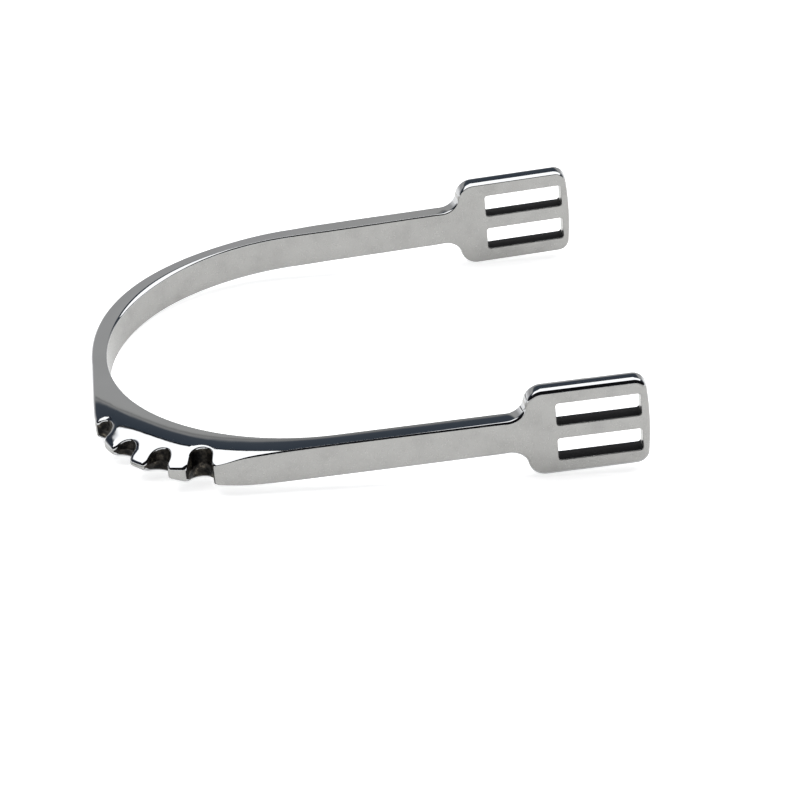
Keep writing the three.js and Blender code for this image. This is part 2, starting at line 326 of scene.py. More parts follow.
def inside(points, loop):
    """Which points lie inside a closed plan curve."""
    loop = np.asarray(loop)
    after = np.roll(loop, -1, axis=0)
    x, y = points[:, 0][:, None], points[:, 1][:, None]
    crosses = (loop[:, 1][None] > y) != (after[:, 1][None] > y)
    rise = np.where(after[:, 1] == loop[:, 1], 1e-12, after[:, 1] - loop[:, 1])
    at = (after[:, 0] - loop[:, 0])[None] * (y - loop[:, 1][None]) / rise[None] + loop[:, 0][None]
    return (crosses & (x < at)).sum(axis=1) % 2 == 1


def wobble(values, scale, seed):
    """Smooth random waves along a line, between -1 and 1."""
    random = np.random.default_rng(seed)
    total = np.zeros_like(values)
    for _ in range(6):
        total += np.sin(values / scale * random.uniform(0.6, 2.4) * math.tau
                        + random.uniform(0.0, math.tau))
    return total / 6.0


# ---- plan of the U ---------------------------------------------------------------------------

heel_end_angle = math.atan(HEEL_HALF_WIDTH / (HEEL_DEPTH * math.tan(TOE_OUT)))


def heel_point(angle):
    return np.stack([HEEL_DEPTH * (1 - np.cos(angle)), HEEL_HALF_WIDTH * np.sin(angle)], axis=-1)


def heel_outward(angle):
    across = np.stack([-HEEL_HALF_WIDTH * np.cos(angle), HEEL_DEPTH * np.sin(angle)], axis=-1)
    return across / np.linalg.norm(across, axis=-1)[..., None]


def height_share(angle):
    share = np.minimum(1.0, np.abs(angle) / HEIGHT_CHANGE_END)
    return 0.5 - 0.5 * np.cos(math.pi * share)


def half_height(angle):
    return between(HEEL_HEIGHT, BRANCH_HEIGHT, height_share(angle)) / 2


def plain_thickness(angle):
    swell = np.sin(math.pi * np.minimum(1.0, angle / CORNER_SWELL_END)) ** 2
    return between(HEEL_THICKNESS, BRANCH_THICKNESS, height_share(angle)) + CORNER_SWELL * swell


def heel_coordinates(plan):
    """Ellipse angle and distance from the inner face of points in plan."""
    angle = np.arctan2(plan[:, 1] / HEEL_HALF_WIDTH, 1.0 - plan[:, 0] / HEEL_DEPTH)
    for _ in range(12):
        start = heel_point(angle)
        tangent = np.stack([HEEL_DEPTH * np.sin(angle), HEEL_HALF_WIDTH * np.cos(angle)], axis=-1)
        gap = ((plan - start) * tangent).sum(axis=1)
        angle = angle + gap / (tangent ** 2).sum(axis=1) * 0.8
    away = ((plan - heel_point(angle)) * heel_outward(angle)).sum(axis=1)
    return angle, away


# Outline of the toothed side: the heel's line, the ridge's arc and the branch's line
heel_normal = np.array([-math.cos(RIDGE_HEEL_LEAN), math.sin(RIDGE_HEEL_LEAN)])
branch_normal = heel_outward(np.array(-heel_end_angle))
branch_offset = heel_point(np.array(-heel_end_angle)) @ branch_normal + BRANCH_THICKNESS
ridge_centre = np.linalg.solve(
    np.array([heel_normal, branch_normal]),
    np.array([HEEL_THICKNESS * math.cos(RIDGE_HEEL_LEAN) - RIDGE_RADIUS,
              branch_offset - RIDGE_RADIUS]),
)


def direction_of(vector):
    """Angle of a plan vector from -X towards -Y."""
    return math.atan2(-vector[1], -vector[0])


def arc(centre, radius, start, end, spacing, hollow=False):
    """Points and outward normals on an arc whose normal turns from `start` to `end`."""
    count = max(3, int(abs(end - start) * radius / spacing) + 1)
    angles = np.linspace(start, end, count)
    normals = np.stack([-np.cos(angles), -np.sin(angles)], axis=-1)
    return centre + normals * (-radius if hollow else radius), normals


def straight(start, end, normal, spacing):
    count = max(2, int(np.linalg.norm(end - start) / spacing) + 1)
    share = np.linspace(0.0, 1.0, count)[:, None]
    return start + (end - start) * share, np.tile(normal, (count, 1))


def notch_mouth(centre, outward, side):
    """Tip corner on one side of a notch: its centre and the normal of the notch's wall there."""
    across = side * np.array([-outward[1], outward[0]])
    into = across * math.cos(NOTCH_FLARE) - outward * math.sin(NOTCH_FLARE)
    along = outward * math.cos(NOTCH_FLARE) + across * math.sin(NOTCH_FLARE)
    base = centre + into * (NOTCH_RADIUS + TIP_RADIUS) - ridge_centre
    limit = RIDGE_RADIUS - TIP_RADIUS
    part = base @ along
    reach = -part + math.sqrt(part * part - base @ base + limit * limit)
    if reach >= 0:
        return base + along * reach + ridge_centre, -into
    away = np.linalg.norm(centre - ridge_centre)
    cosine = (limit ** 2 + away ** 2 - (NOTCH_RADIUS + TIP_RADIUS) ** 2) / (2 * limit * away)
    turn = math.acos(cosine)
    corner = ridge_centre + limit * (outward * cosine + across * math.sin(turn))
    return corner, (centre - corner) / np.linalg.norm(centre - corner)


def ridge_outline():
    """The ridge's arc with its notches: points, normals, and how much each point lies in a notch."""
    pieces, flags = [], []

    def add(part, notch, notch_end=None):
        pieces.append(part)
        flags.append(np.linspace(notch, notch if notch_end is None else notch_end, len(part[0])))

    position = direction_of(heel_normal)
    for i in range(NOTCH_COUNT):
        direction = NOTCH_MIDDLE + (i - (NOTCH_COUNT - 1) / 2) * NOTCH_PITCH
        depth = between(NOTCH_DEPTH_HEEL, NOTCH_DEPTH_BRANCH, i / (NOTCH_COUNT - 1))
        outward = np.array([-math.cos(direction), -math.sin(direction)])
        centre = ridge_centre + outward * (RIDGE_RADIUS - depth + NOTCH_RADIUS)
        near, near_wall = notch_mouth(centre, outward, -1.0)
        far, far_wall = notch_mouth(centre, outward, 1.0)
        # the walls' normals, as angles that grow from the heel's side to the branch's side
        start = direction_of(near - ridge_centre)
        end = direction_of(far - ridge_centre)
        near_turn, far_turn = direction_of(near_wall), direction_of(far_wall)
        add(arc(ridge_centre, RIDGE_RADIUS, position, start, 0.25), 0.0)
        add(arc(near, TIP_RADIUS, start, near_turn, 0.09), 0.15, 1.0)
        bottom_start = centre - near_wall * NOTCH_RADIUS
        bottom_end = centre - far_wall * NOTCH_RADIUS
        add(straight(near + near_wall * TIP_RADIUS, bottom_start, near_wall, 0.2), 1.0)
        add(arc(centre, NOTCH_RADIUS, near_turn, far_turn, 0.16, hollow=True), 1.0)
        add(straight(bottom_end, far + far_wall * TIP_RADIUS, far_wall, 0.2), 1.0)
        add(arc(far, TIP_RADIUS, far_turn, end, 0.09), 1.0, 0.15)
        position = end
    add(arc(ridge_centre, RIDGE_RADIUS, position, direction_of(branch_normal), 0.25), 0.0)
    points = np.concatenate([p for p, _ in pieces])
    normals = np.concatenate([n for _, n in pieces])
    return points, normals, np.concatenate(flags)


def outer_outline():
    """Outer outline of the heel band, from the left branch round the heel to the right one."""
    angles = np.linspace(heel_end_angle, 0.0, 130)
    plain = heel_point(angles) + heel_outward(angles) * plain_thickness(angles)[:, None]
    tangent = np.gradient(plain, axis=0)
    plain_normals = np.stack([tangent[:, 1], -tangent[:, 0]], axis=-1)
    plain_normals /= np.linalg.norm(plain_normals, axis=1)[:, None]
    ridge, ridge_normals, ridge_flags = ridge_outline()
    heel, heel_normals = straight(plain[-1], ridge[0], heel_normal, 0.4)
    join = heel_point(np.array(-heel_end_angle)) + branch_normal * BRANCH_THICKNESS
    last, last_normals = straight(ridge[-1], join, branch_normal, 0.5)
    points = np.concatenate([plain, heel[1:], ridge[1:], last[1:]])
    normals = np.concatenate([plain_normals, heel_normals[1:], ridge_normals[1:], last_normals[1:]])
    flags = np.concatenate([
        np.zeros(len(plain) + len(heel) - 1), ridge_flags[1:], np.zeros(len(last) - 1)])
    keep = np.concatenate([[True], np.linalg.norm(np.diff(points, axis=0), axis=1) > 1e-4])
    return points[keep], normals[keep], flags[keep]


# ---- heel band -------------------------------------------------------------------------------

class Outline:
    """Outer outline of the heel band with the finish of its edge at each station."""

    def __init__(self):
        self.points, self.normals, self.notch = outer_outline()
        steps = np.linalg.norm(np.diff(self.points, axis=0), axis=1)
        self.run = np.concatenate([[0.0], np.cumsum(steps)])
        in_notch = self.run[self.notch > 0.5]
        before = np.maximum(0.0, in_notch.min() - self.run)
        after = np.maximum(0.0, self.run - in_notch.max())
        self.worn = smooth(1.0 - before / WORN_HEEL) * smooth(1.0 - after / WORN_BRANCH)
        from_first = (self.run - in_notch.min() - FIRST_SAG_RUN) / FIRST_SAG_RUN
        self.worn *= 1.0 + FIRST_SAG * np.exp(-from_first ** 2)
        radii = between(BRANCH_OUTER_EDGE, HEEL_OUTER_EDGE,
                        smooth(self.run / HEEL_EDGE_RUN)[:, None])
        radii = between(radii, TIP_EDGE, smooth(1.0 - before / TIP_EDGE_RUN)[:, None])
        free = self.run[self.notch < 0.5]
        depth = np.array([np.abs(free - run).min() for run in self.run])
        self.depth = depth * (self.notch > 0.5)
        radii = between(radii, NOTCH_EDGE, smooth(self.depth / NOTCH_EDGE_RUN)[:, None])
        radii = between(radii, BRANCH_START_EDGE, smooth(after / BRANCH_START_RUN)[:, None])
        radii = between(radii, BRANCH_OUTER_EDGE,
                        smooth((after - BRANCH_EDGE_START) / BRANCH_EDGE_RUN)[:, None])
        self.soft, self.crisp = radii.T

    def nearest(self, plan):
        """Distance to the outline, its normal there, and its wear, for points in plan."""
        a, b = self.points[:-1], self.points[1:]
        step = b - a
        length = (step ** 2).sum(axis=1)
        distance, normal, worn = [], [], []
        for point in plan:
            share = np.clip(((point - a) * step).sum(axis=1) / length, 0.0, 1.0)
            gap = a + step * share[:, None] - point
            k = int(np.argmin((gap ** 2).sum(axis=1)))
            t = share[k]
            n = between(self.normals[k], self.normals[k + 1], t)
            normal.append(n / np.linalg.norm(n))
            distance.append(math.sqrt((gap[k] ** 2).sum()))
            worn.append(between(self.worn[k], self.worn[k + 1], t))
        return np.array(distance), np.array(normal), np.array(worn)


def ramp(value, start, full):
    return smooth((value - start) / (full - start))


def span(value, limits):
    """Rises from 0 to 1 between the first two limits and falls back between the last two."""
    begin, full, fade, end = limits
    return ramp(value, begin, full) * ramp(value, end, fade)


def soft_ramp(value, start):
    """Zero below zero, then a parabola over start, then a straight line of slope one."""
    rising = np.clip(value, 0.0, start)
    return rising ** 2 / (2 * start) + np.maximum(0.0, value - start)


def upper_height(plan):
    """Height of the polished upper face, before the wear next to the notches."""
    angle, across = heel_coordinates(plan)
    across = np.maximum(0.0, across)
    turned = -np.degrees(angle)
    ridge = span(turned, RIDGE_CROWN_SPAN)
    near = np.minimum(across, CROWN_END)
    ridge_bend = between(1 / RIDGE_CROWN_RADIUS, 1 / LATE_CROWN_RADIUS,
                         ramp(turned, LATE_CROWN_START, LATE_CROWN_FULL))
    crown = (near ** 2 / 2 + CROWN_END * (across - near)) * between(
        1 / CROWN_RADIUS, ridge_bend, ridge)
    late = ramp(turned, LATE_DOME_START, LATE_DOME_FULL)
    reach = np.maximum(0.0, np.linalg.norm(plan - DOME_CENTRE, axis=1) - DOME_START)
    curved = np.minimum(reach, DOME_SLOPE * DOME_RADIUS)
    dome = curved ** 2 / (2 * DOME_RADIUS) + DOME_SLOPE * (reach - curved)
    dome *= between(1.0, DOME_BRANCH_SHARE, late)
    dome *= span(turned, DOME_SPAN)
    roll_way = np.array([-math.cos(ROLL_ANGLE), -math.sin(ROLL_ANGLE)])
    to_tip = RIDGE_RADIUS - (plan - ridge_centre) @ roll_way
    roll = ROLL_SLOPE * soft_ramp(ROLL_LENGTH - to_tip, ROLL_START)
    roll *= span(turned, ROLL_SPAN)
    return half_height(angle) - crown - dome - roll


def upper_face(plan, distance, normal, worn):
    """Height of the band's upper face and its slope in plan. distance, normal and worn describe
    the nearest point of the outer outline."""
    share = np.maximum(0.0, 1.0 - distance / SAG_WIDTH)
    height = upper_height(plan) - SAG_DEPTH * worn * share ** 2
    step = 0.01
    slope = np.stack([
        upper_height(plan + side) - upper_height(plan - side)
        for side in (np.array([step, 0.0]), np.array([0.0, step]))], axis=-1) / (2 * step)
    slope -= normal * (2 * SAG_DEPTH * worn * share / SAG_WIDTH)[:, None]
    return height, slope


def rounded_ring(points, normals, soft, crisp, worn, outer):
    """Upper rounded edge along an outline: rows from the vertical face's top to the upper face.
    normals point away from the steel. Returns positions and normals, stations x rows."""
    reach = crisp.copy()
    lean = np.zeros(len(points))
    for _ in range(6):
        start = points - normals * reach[:, None]
        near = reach if outer else np.full(len(points), 99.0)
        height, slope = upper_face(start, near, normals, worn)
        lean = np.arctan(-(slope * normals).sum(axis=1))
        away, fall, turn = edge_rows(soft, crisp, lean)
        reach = away[:, 0]
    side = slope - normals * (slope * normals).sum(axis=1)[:, None]
    positions = with_height(points[:, None] - normals[:, None] * away[..., None],
                            height[:, None] - fall)
    flat = normals[:, None] * np.sin(turn)[..., None] - side[:, None] * np.cos(turn)[..., None]
    return positions, with_height(flat, np.cos(turn))


def edge_finish(normals):
    """Polished where an edge faces up or down, satin where it is nearly upright."""
    upward = np.abs(normals[:, :-1, 2] + normals[:, 1:, 2]) / 2
    return np.where(upward < STEEP, SATIN, POLISHED)


def flipped(array):
    return array * np.array([1.0, 1.0, -1.0])


def at_heights(points, levels):
    """The same points at several shares of their height."""
    return [points * np.array([1.0, 1.0, k]) for k in levels]


def under(points):
    """The lower face: the upper one mirrored, with less of the ridge's wear."""
    angle, _ = heel_coordinates(points[..., :2].reshape(-1, 2))
    turned = -np.degrees(angle)
    share = span(turned, UNDER_SPAN)
    height = points[..., 2]
    share, full = (values.reshape(height.shape) for values in (share, half_height(angle)))
    lower = -height - UNDER_FULLNESS * share * np.maximum(0.0, full - height)
    return with_height(points[..., :2], lower)


def wall_between(top, normals, levels, bulge=None):
    """Rows from an upper edge straight down to the lower one. bulge(level) stands proud."""
    bottom = -under(top)[:, 2]
    rows = []
    for level in levels:
        row = top.copy()
        row[:, 2] = level * (top[:, 2] if level > 0 else bottom)
        if bulge is not None:
            row[:, :2] += normals * bulge(level)[:, None]
        rows.append(row)
    return np.stack(rows, axis=1)


def heel_band():
    surface = Surface()
    outline = Outline()
    angles = np.linspace(heel_end_angle, -heel_end_angle, INNER_STATIONS)
    inner = heel_point(angles)
    inner_normals = -heel_outward(angles)
    corner = smooth(1.0 - np.abs(angles - CORNER_ANGLE) / CORNER_SPREAD) * (angles > 0)
    soft, crisp = between(BRANCH_INNER_EDGE, CORNER_INNER_EDGE, corner[:, None]).T
    nothing = np.zeros(len(angles))
    inner_ring, inner_ring_n = rounded_ring(inner, inner_normals, soft, crisp, nothing, False)
    outer_ring, outer_ring_n = rounded_ring(
        outline.points, outline.normals, outline.soft, outline.crisp, outline.worn, True)

    # upper face between the two rounded edges
    boundary_in = inner_ring[:, 0]
    boundary_out = outer_ring[:, 0]
    ends = []
    for start, end in ((boundary_in[-1], boundary_out[-1]), (boundary_out[0], boundary_in[0])):
        share = np.linspace(0.0, 1.0, CROWN_ROWS + 1)[1:-1, None]
        ends.append(start[:2] + (end[:2] - start[:2]) * share)
    loop = np.concatenate([boundary_in[:, :2], ends[0], boundary_out[::-1, :2], ends[1]])
    seeds = []
    for angle in np.linspace(heel_end_angle, -heel_end_angle, 200)[1:-1]:
        for across in np.arange(0.5, 12.0, 0.75):
            seeds.append(heel_point(np.array(angle)) + heel_outward(np.array(angle)) * across)
    seeds = np.array(seeds)
    seeds = seeds[inside(seeds, loop)]
    clear = np.array([((loop - seed) ** 2).sum(axis=1).min() > 0.30 ** 2 for seed in seeds])
    found, triangles = fill(loop, [], seeds[clear])
    distance, normal, worn = outline.nearest(found)
    height, slope = upper_face(found, distance, normal, worn)
    count_in, count_out = len(boundary_in), len(boundary_out)
    normals = with_height(-slope, np.ones(len(found)))
    points = with_height(found, height)
    first_out = count_in + len(ends[0])
    for start, end, k in ((count_in, first_out, -1),
                          (first_out + count_out, first_out + count_out + len(ends[1]), 0)):
        across = (found[start:end] - inner[k]) @ outline.normals[k]
        normals[start:end] = with_height(
            outline.normals[k] * across[:, None] / CROWN_RADIUS, np.ones(end - start))
    points[:count_in] = boundary_in
    normals[:count_in] = inner_ring_n[:, 0]
    points[first_out:first_out + count_out] = boundary_out[::-1]
    normals[first_out:first_out + count_out] = outer_ring_n[::-1, 0]
    end_one = points[count_in:first_out]
    end_two = points[first_out + count_out:first_out + count_out + len(ends[1])]

    ring_finish = edge_finish(outer_ring_n)
    # notch rims that do not face the chosen way get the dark cast skin on their rounding: painted
    # shade
    painted_shade_rim = (outline.notch > 0.5) & (outline.normals @ PAINTED_HIGHLIGHT_WAY < PAINTED_HIGHLIGHT_LEAST)
    ring_finish[outline.notch > 0.5] = POLISHED
    ring_finish[painted_shade_rim, -4:] = CAST

    for move, turn in ((np.array, np.array), (under, flipped)):
        surface.triangles(move(points), turn(normals), triangles, POLISHED)
        surface.grid(move(inner_ring), turn(inner_ring_n), POLISHED)
        surface.grid(move(outer_ring), turn(outer_ring_n), ring_finish)

    # inner face, and the outer face with its notches
    levels = np.linspace(1.0, -1.0, 7)
    inner_wall = wall_between(inner_ring[:, -1], inner_normals, levels)
    wall_n = np.repeat(with_height(inner_normals, 0.0)[:, None], len(levels), axis=1)
    surface.grid(inner_wall, wall_n, SATIN)
    top = outer_ring[:, -1]
    share = np.clip(RIM_POLISH / top[:, 2], 0.0, 0.4)
    proud = smooth((outline.depth - PROUD_START) / PROUD_RUN)

    def bulge(level):
        inner_part = np.clip((1.0 - share - abs(level)) / (1.0 - share), 0.0, 1.0)
        waves = wobble(outline.run + 40.0 * level, NOTCH_ROUGH_LENGTH, SEED)
        rough = waves * NOTCH_ROUGHNESS * (inner_part > 0)
        line = PARTING_HEIGHT * math.exp(-(level / PARTING_WIDTH) ** 2)
        return proud * (CREASE * inner_part + line + rough)

    wall_levels = np.linspace(1.0, -1.0, 25)
    rows = wall_between(top, outline.normals, wall_levels, bulge)
    rows[:, 1:-1, 2] *= ((1.0 - share) / wall_levels[1])[:, None]
    rows[:, 1, :2] = rows[:, 0, :2]
    rows[:, -2, :2] = rows[:, -1, :2]
    outward = with_height(outline.normals, 0.0)[:, None]
    rough_normals = grid_normals(rows, outward)
    rows_n = np.where((proud > 0.02)[:, None, None], rough_normals, outward)
    finish = np.full((len(top), len(wall_levels) - 1), SATIN)
    in_notch = np.nonzero(outline.notch > 0.5)[0]
    for k in in_notch:
        if outline.notch[min(k + 1, len(top) - 1)] > 0.5:
            finish[k] = CAST
            # notch walls that face the chosen way get a polished band at top and bottom: a painted
            # highlight
            if outline.normals[k] @ PAINTED_HIGHLIGHT_WAY > PAINTED_HIGHLIGHT_LEAST:
                finish[k, 0] = finish[k, -1] = POLISHED
    surface.grid(rows, rows_n, finish)

    # flat ends, which meet the branches
    for k, end in ((0, end_two), (-1, end_one[::-1])):
        upper = [*inner_wall[k, ::-1][len(levels) // 2:], *inner_ring[k, ::-1][1:], *end[::-1],
                 *outer_ring[k][:-1], *rows[k][:len(wall_levels) // 2 + 1]]
        upper = np.array(upper)
        lower = flipped(upper[::-1])[1:-1]
        tangent = np.array([1.0, -outline.normals[k, 0] / outline.normals[k, 1], 0.0])
        surface.cap(np.concatenate([upper, lower]), tangent, SATIN)
    return surface


# ---- branches and strap plates ---------------------------------------------------------------

heel_end = heel_point(np.array(heel_end_angle))
slot_start = (INNER_LENGTH - heel_end[0]) / math.cos(TOE_OUT) - PLATE_END
branch_end = slot_start - NECK_LENGTH + PIECE_GAP


def arm_to_plan(points, side):
    """From a branch's own (along, across, up) to the U's plan. side is 1 left and -1 right."""
    along, across, up = np.moveaxis(np.asarray(points, float), -1, 0)
    x = heel_end[0] + along * math.cos(TOE_OUT) - across * math.sin(TOE_OUT)
    y = heel_end[1] + along * math.sin(TOE_OUT) + across * math.cos(TOE_OUT)
    return np.stack([x, side * y, up], axis=-1)


def arm_turn(normals, side):
    return arm_to_plan(normals, side) - arm_to_plan(np.zeros(3), side)


def edge_profile(inner_edge, outer_edge, crest, bend):
    """Section across the band's edge for stations with (soft, crisp) radii. crest is the
    distance of the highest line from the inner face, bend the curvature to both sides of it.
    Gives the distance from the inner face, the fall below the outline, and the slope, from the
    inner face to the outer face."""
    start, end = np.zeros(len(crest)), np.full(len(crest), BRANCH_THICKNESS)
    for _ in range(8):
        lean_in = np.arctan((crest - start) * bend)
        lean_out = np.arctan((end - crest) * bend)
        away_in, fall_in, turn_in = edge_rows(inner_edge[:, 0], inner_edge[:, 1], lean_in)
        away_out, fall_out, turn_out = edge_rows(outer_edge[:, 0], outer_edge[:, 1], lean_out)
        start = away_in[:, 0]
        end = BRANCH_THICKNESS - away_out[:, 0]
    share = np.linspace(0.0, 1.0, CROWN_ROWS + 1)[None, 1:-1]
    across = start[:, None] + (end - start)[:, None] * share
    from_crest = across - crest[:, None]
    crown_in = ((start - crest) ** 2 * bend / 2)[:, None]
    crown_out = ((end - crest) ** 2 * bend / 2)[:, None]
    return (
        np.concatenate([away_in[:, ::-1], across, BRANCH_THICKNESS - away_out], axis=1),
        np.concatenate([crown_in + fall_in[:, ::-1], from_crest ** 2 * bend[:, None] / 2,
                        crown_out + fall_out], axis=1),
        np.concatenate([-turn_in[:, ::-1], np.arctan(from_crest * bend[:, None]), turn_out],
                       axis=1),
    )


def edge_sheet(outline, normals, inner_edge, outer_edge, crest, bend):
    """The polished edge along an outline in a branch's (along, up) plane."""
    across, fall, slope = edge_profile(inner_edge, outer_edge, crest, bend)
    spots = outline[:, None] - normals[:, None] * fall[..., None]
    flat = normals[:, None] * np.cos(slope)[..., None]
    return (np.stack([spots[..., 0], across, spots[..., 1]], axis=-1),
            np.stack([flat[..., 0], np.sin(slope), flat[..., 1]], axis=-1))


def end_loop(upper, levels):
    """Outline of an arm's flat end, from its upper edge and the heights between the edges."""
    wall_out = at_heights(upper[-1], levels)
    wall_in = at_heights(upper[0], levels[::-1])
    return np.concatenate([upper, wall_out, flipped(upper[::-1]), wall_in])


def branch(side):
    surface = Surface()
    along = np.linspace(0.0, branch_end, 70)
    top = np.full(len(along), BRANCH_HEIGHT / 2)
    share = smooth((along - branch_end * 0.35) / (branch_end * 0.65))[:, None]
    inner_edge = between(BRANCH_INNER_EDGE, NECK_INNER_EDGE, share)
    outer_edge = between(BRANCH_OUTER_EDGE, NECK_OUTER_EDGE, share)
    up = np.tile([0.0, 1.0], (len(along), 1))
    turning = smooth(along / CROWN_CHANGE) if side > 0 else np.zeros(len(along))
    crest = BRANCH_THICKNESS * turning
    bend = between(1 / CROWN_RADIUS, 1 / LEFT_CROWN_RADIUS, turning)
    sheet, sheet_n = edge_sheet(
        np.stack([along, top], axis=-1), up, inner_edge, outer_edge, crest, bend)
    levels = np.linspace(1.0, -1.0, 9)
    for turn in (np.array, flipped):
        surface.grid(arm_to_plan(turn(sheet), side), arm_turn(turn(sheet_n), side),
                     edge_finish(sheet_n))
    for column, outward in ((0, -1.0), (-1, 1.0)):
        wall = np.stack(at_heights(sheet[:, column], levels), axis=1)
        normals = np.broadcast_to([0.0, outward, 0.0], wall.shape)
        surface.grid(arm_to_plan(wall, side), arm_turn(normals, side), SATIN)
    for row, outward in ((0, -1.0), (-1, 1.0)):
        surface.cap(arm_to_plan(end_loop(sheet[row], levels[1:-1]), side),
                    arm_turn([outward, 0.0, 0.0], side), SATIN)
    return surface


def path(*parts):
    """Joins parts of (points, normals), dropping a point that repeats the one before it."""
    points = np.concatenate([p for p, _ in parts])
    normals = np.concatenate([n for _, n in parts])
    keep = np.concatenate([[True], np.linalg.norm(np.diff(points, axis=0), axis=1) > 1e-4])
    return points[keep], normals[keep]


def round_part(x, y, radius, start, end, spacing=0.14, hollow=False):
    """Arc in the (along, up) plane whose normal turns from start to end, in degrees."""
    count = max(3, int(abs(math.radians(end - start)) * radius / spacing) + 1)
    angles = np.radians(np.linspace(start, end, count))
    normals = np.stack([np.cos(angles), np.sin(angles)], axis=-1)
    return np.array([x, y]) + normals * (-radius if hollow else radius), normals


def line_part(start, end, spacing=0.6):
    start, end = np.array(start, float), np.array(end, float)
    step = (end - start) / np.linalg.norm(end - start)
    return straight(start, end, np.array([-step[1], step[0]]), spacing)


def upper_half_outline():
    """Plate outline from the neck's upper edge to the middle of the toe end."""
    top, neck = PLATE_HEIGHT / 2, BRANCH_HEIGHT / 2
    round_y, hollow_y = top - SHOULDER_RADIUS, neck + SHOULDER_RADIUS
    reach = math.sqrt((2 * SHOULDER_RADIUS) ** 2 - (hollow_y - round_y) ** 2)
    round_x = -SHOULDER_START
    hollow_x = round_x - reach
    meet = math.degrees(math.atan2(hollow_y - round_y, -reach))
    corner_x = PLATE_END - PLATE_END_BULGE - PLATE_CORNER_RADIUS
    corner_y = top - PLATE_CORNER_RADIUS
    # the toe end bulges slightly, as a parabola that leaves the corner arcs straight up
    steps = np.linspace(1.0, 0.0, 22)
    end_x = corner_x + PLATE_CORNER_RADIUS + PLATE_END_BULGE * (1 - steps ** 2)
    end = np.stack([end_x, corner_y * steps], axis=-1)
    rise = 2 * PLATE_END_BULGE * steps / corner_y
    end_normals = np.stack([np.ones_like(rise), rise], axis=-1)
    end_normals /= np.linalg.norm(end_normals, axis=1)[:, None]
    last = math.degrees(math.atan2(end_normals[0, 1], end_normals[0, 0]))
    return path(
        line_part((-NECK_LENGTH + PIECE_GAP, neck), (hollow_x, neck)),
        round_part(hollow_x, hollow_y, SHOULDER_RADIUS, 90.0, meet, hollow=True),
        round_part(round_x, round_y, SHOULDER_RADIUS, meet, 90.0),
        line_part((round_x, top), (corner_x, top)),
        round_part(corner_x, corner_y, PLATE_CORNER_RADIUS, 90.0, last),
        (end, end_normals),
    )


def slot_outline(bottom):
    """Closed slot outline with normals that point into the opening."""
    left, right, top = 0.0, SLOT_LENGTH, bottom + SLOT_HEIGHT
    r = SLOT_CORNER_RADIUS
    points, normals = path(
        line_part((left + r, bottom), (right - r, bottom), 0.3),
        round_part(right - r, bottom + r, r, 90.0, 180.0, 0.08, hollow=True),
        line_part((right, bottom + r), (right, top - r), 0.3),
        round_part(right - r, top - r, r, 180.0, 270.0, 0.08, hollow=True),
        line_part((right - r, top), (left + r, top), 0.3),
        round_part(left + r, top - r, r, 270.0, 360.0, 0.08, hollow=True),
        line_part((left, top - r), (left, bottom + r), 0.3),
        round_part(left + r, bottom + r, r, 0.0, 90.0, 0.08, hollow=True),
    )
    return points[:-1], normals[:-1]


def slot_sheet(bottom, seed):
    """Wall of a slot from the inner face to the outer face: positions, normals, finishes."""
    outline, normals = slot_outline(bottom)
    run = np.arange(len(outline)) * 0.3
    steps = np.linspace(0.0, math.pi / 2, 5)
    columns, column_normals = [], []
    for face, outward, phase in ((0.0, -1.0, 0), (BRANCH_THICKNESS, 1.0, 1)):
        rim = SLOT_RIM * (1.0 + 0.35 * wobble(run, 2.1, seed + phase))[:, None]
        spots, spot_normals = [], []
        for step in steps:
            flat = outline - normals * rim * (1.0 - math.sin(step))
            depth = face - outward * rim[:, 0] * (1.0 - math.cos(step))
            spots.append(np.stack([flat[:, 0], depth, flat[:, 1]], axis=-1))
            turned = normals * math.sin(step)
            lean = np.full(len(run), outward * math.cos(step))
            spot_normals.append(np.stack([turned[:, 0], lean, turned[:, 1]], axis=-1))
        order = slice(None) if face == 0.0 else slice(None, None, -1)
        columns.append(spots[order])
        column_normals.append(spot_normals[order])
    middle = []
    for share in np.linspace(0.0, 1.0, 8)[1:-1]:
        proud = SLOT_CREASE * (1.0 - abs(2 * share - 1.0))
        rough = 0.02 * wobble(run + 30.0 * share, 1.5, seed + 5)
        spot = between(columns[0][-1], columns[1][0], share)
        spot[:, [0, 2]] += normals * (proud + rough)[:, None]
        middle.append(spot)
    points = np.stack([*columns[0], *middle, *columns[1]], axis=1)
    outward = np.stack([normals[:, 0], np.zeros(len(run)), normals[:, 1]], axis=-1)[:, None]
    wall_normals = [grid_normals(points, outward)[:, k] for k in range(5, 5 + len(middle))]
    all_normals = np.stack([*column_normals[0], *wall_normals, *column_normals[1]], axis=1)
    # slot walls are painted near-black as painted shade, except the toe-end walls that face the
    # heel, which keep the satin finish
    finish = np.full((len(points), points.shape[1] - 1), SLOT_SHADE)
    finish[normals[:, 0] < -0.95] = SATIN
    finish[:, :4] = SATIN
    finish[:, -4:] = SATIN
    return points, all_normals, finish


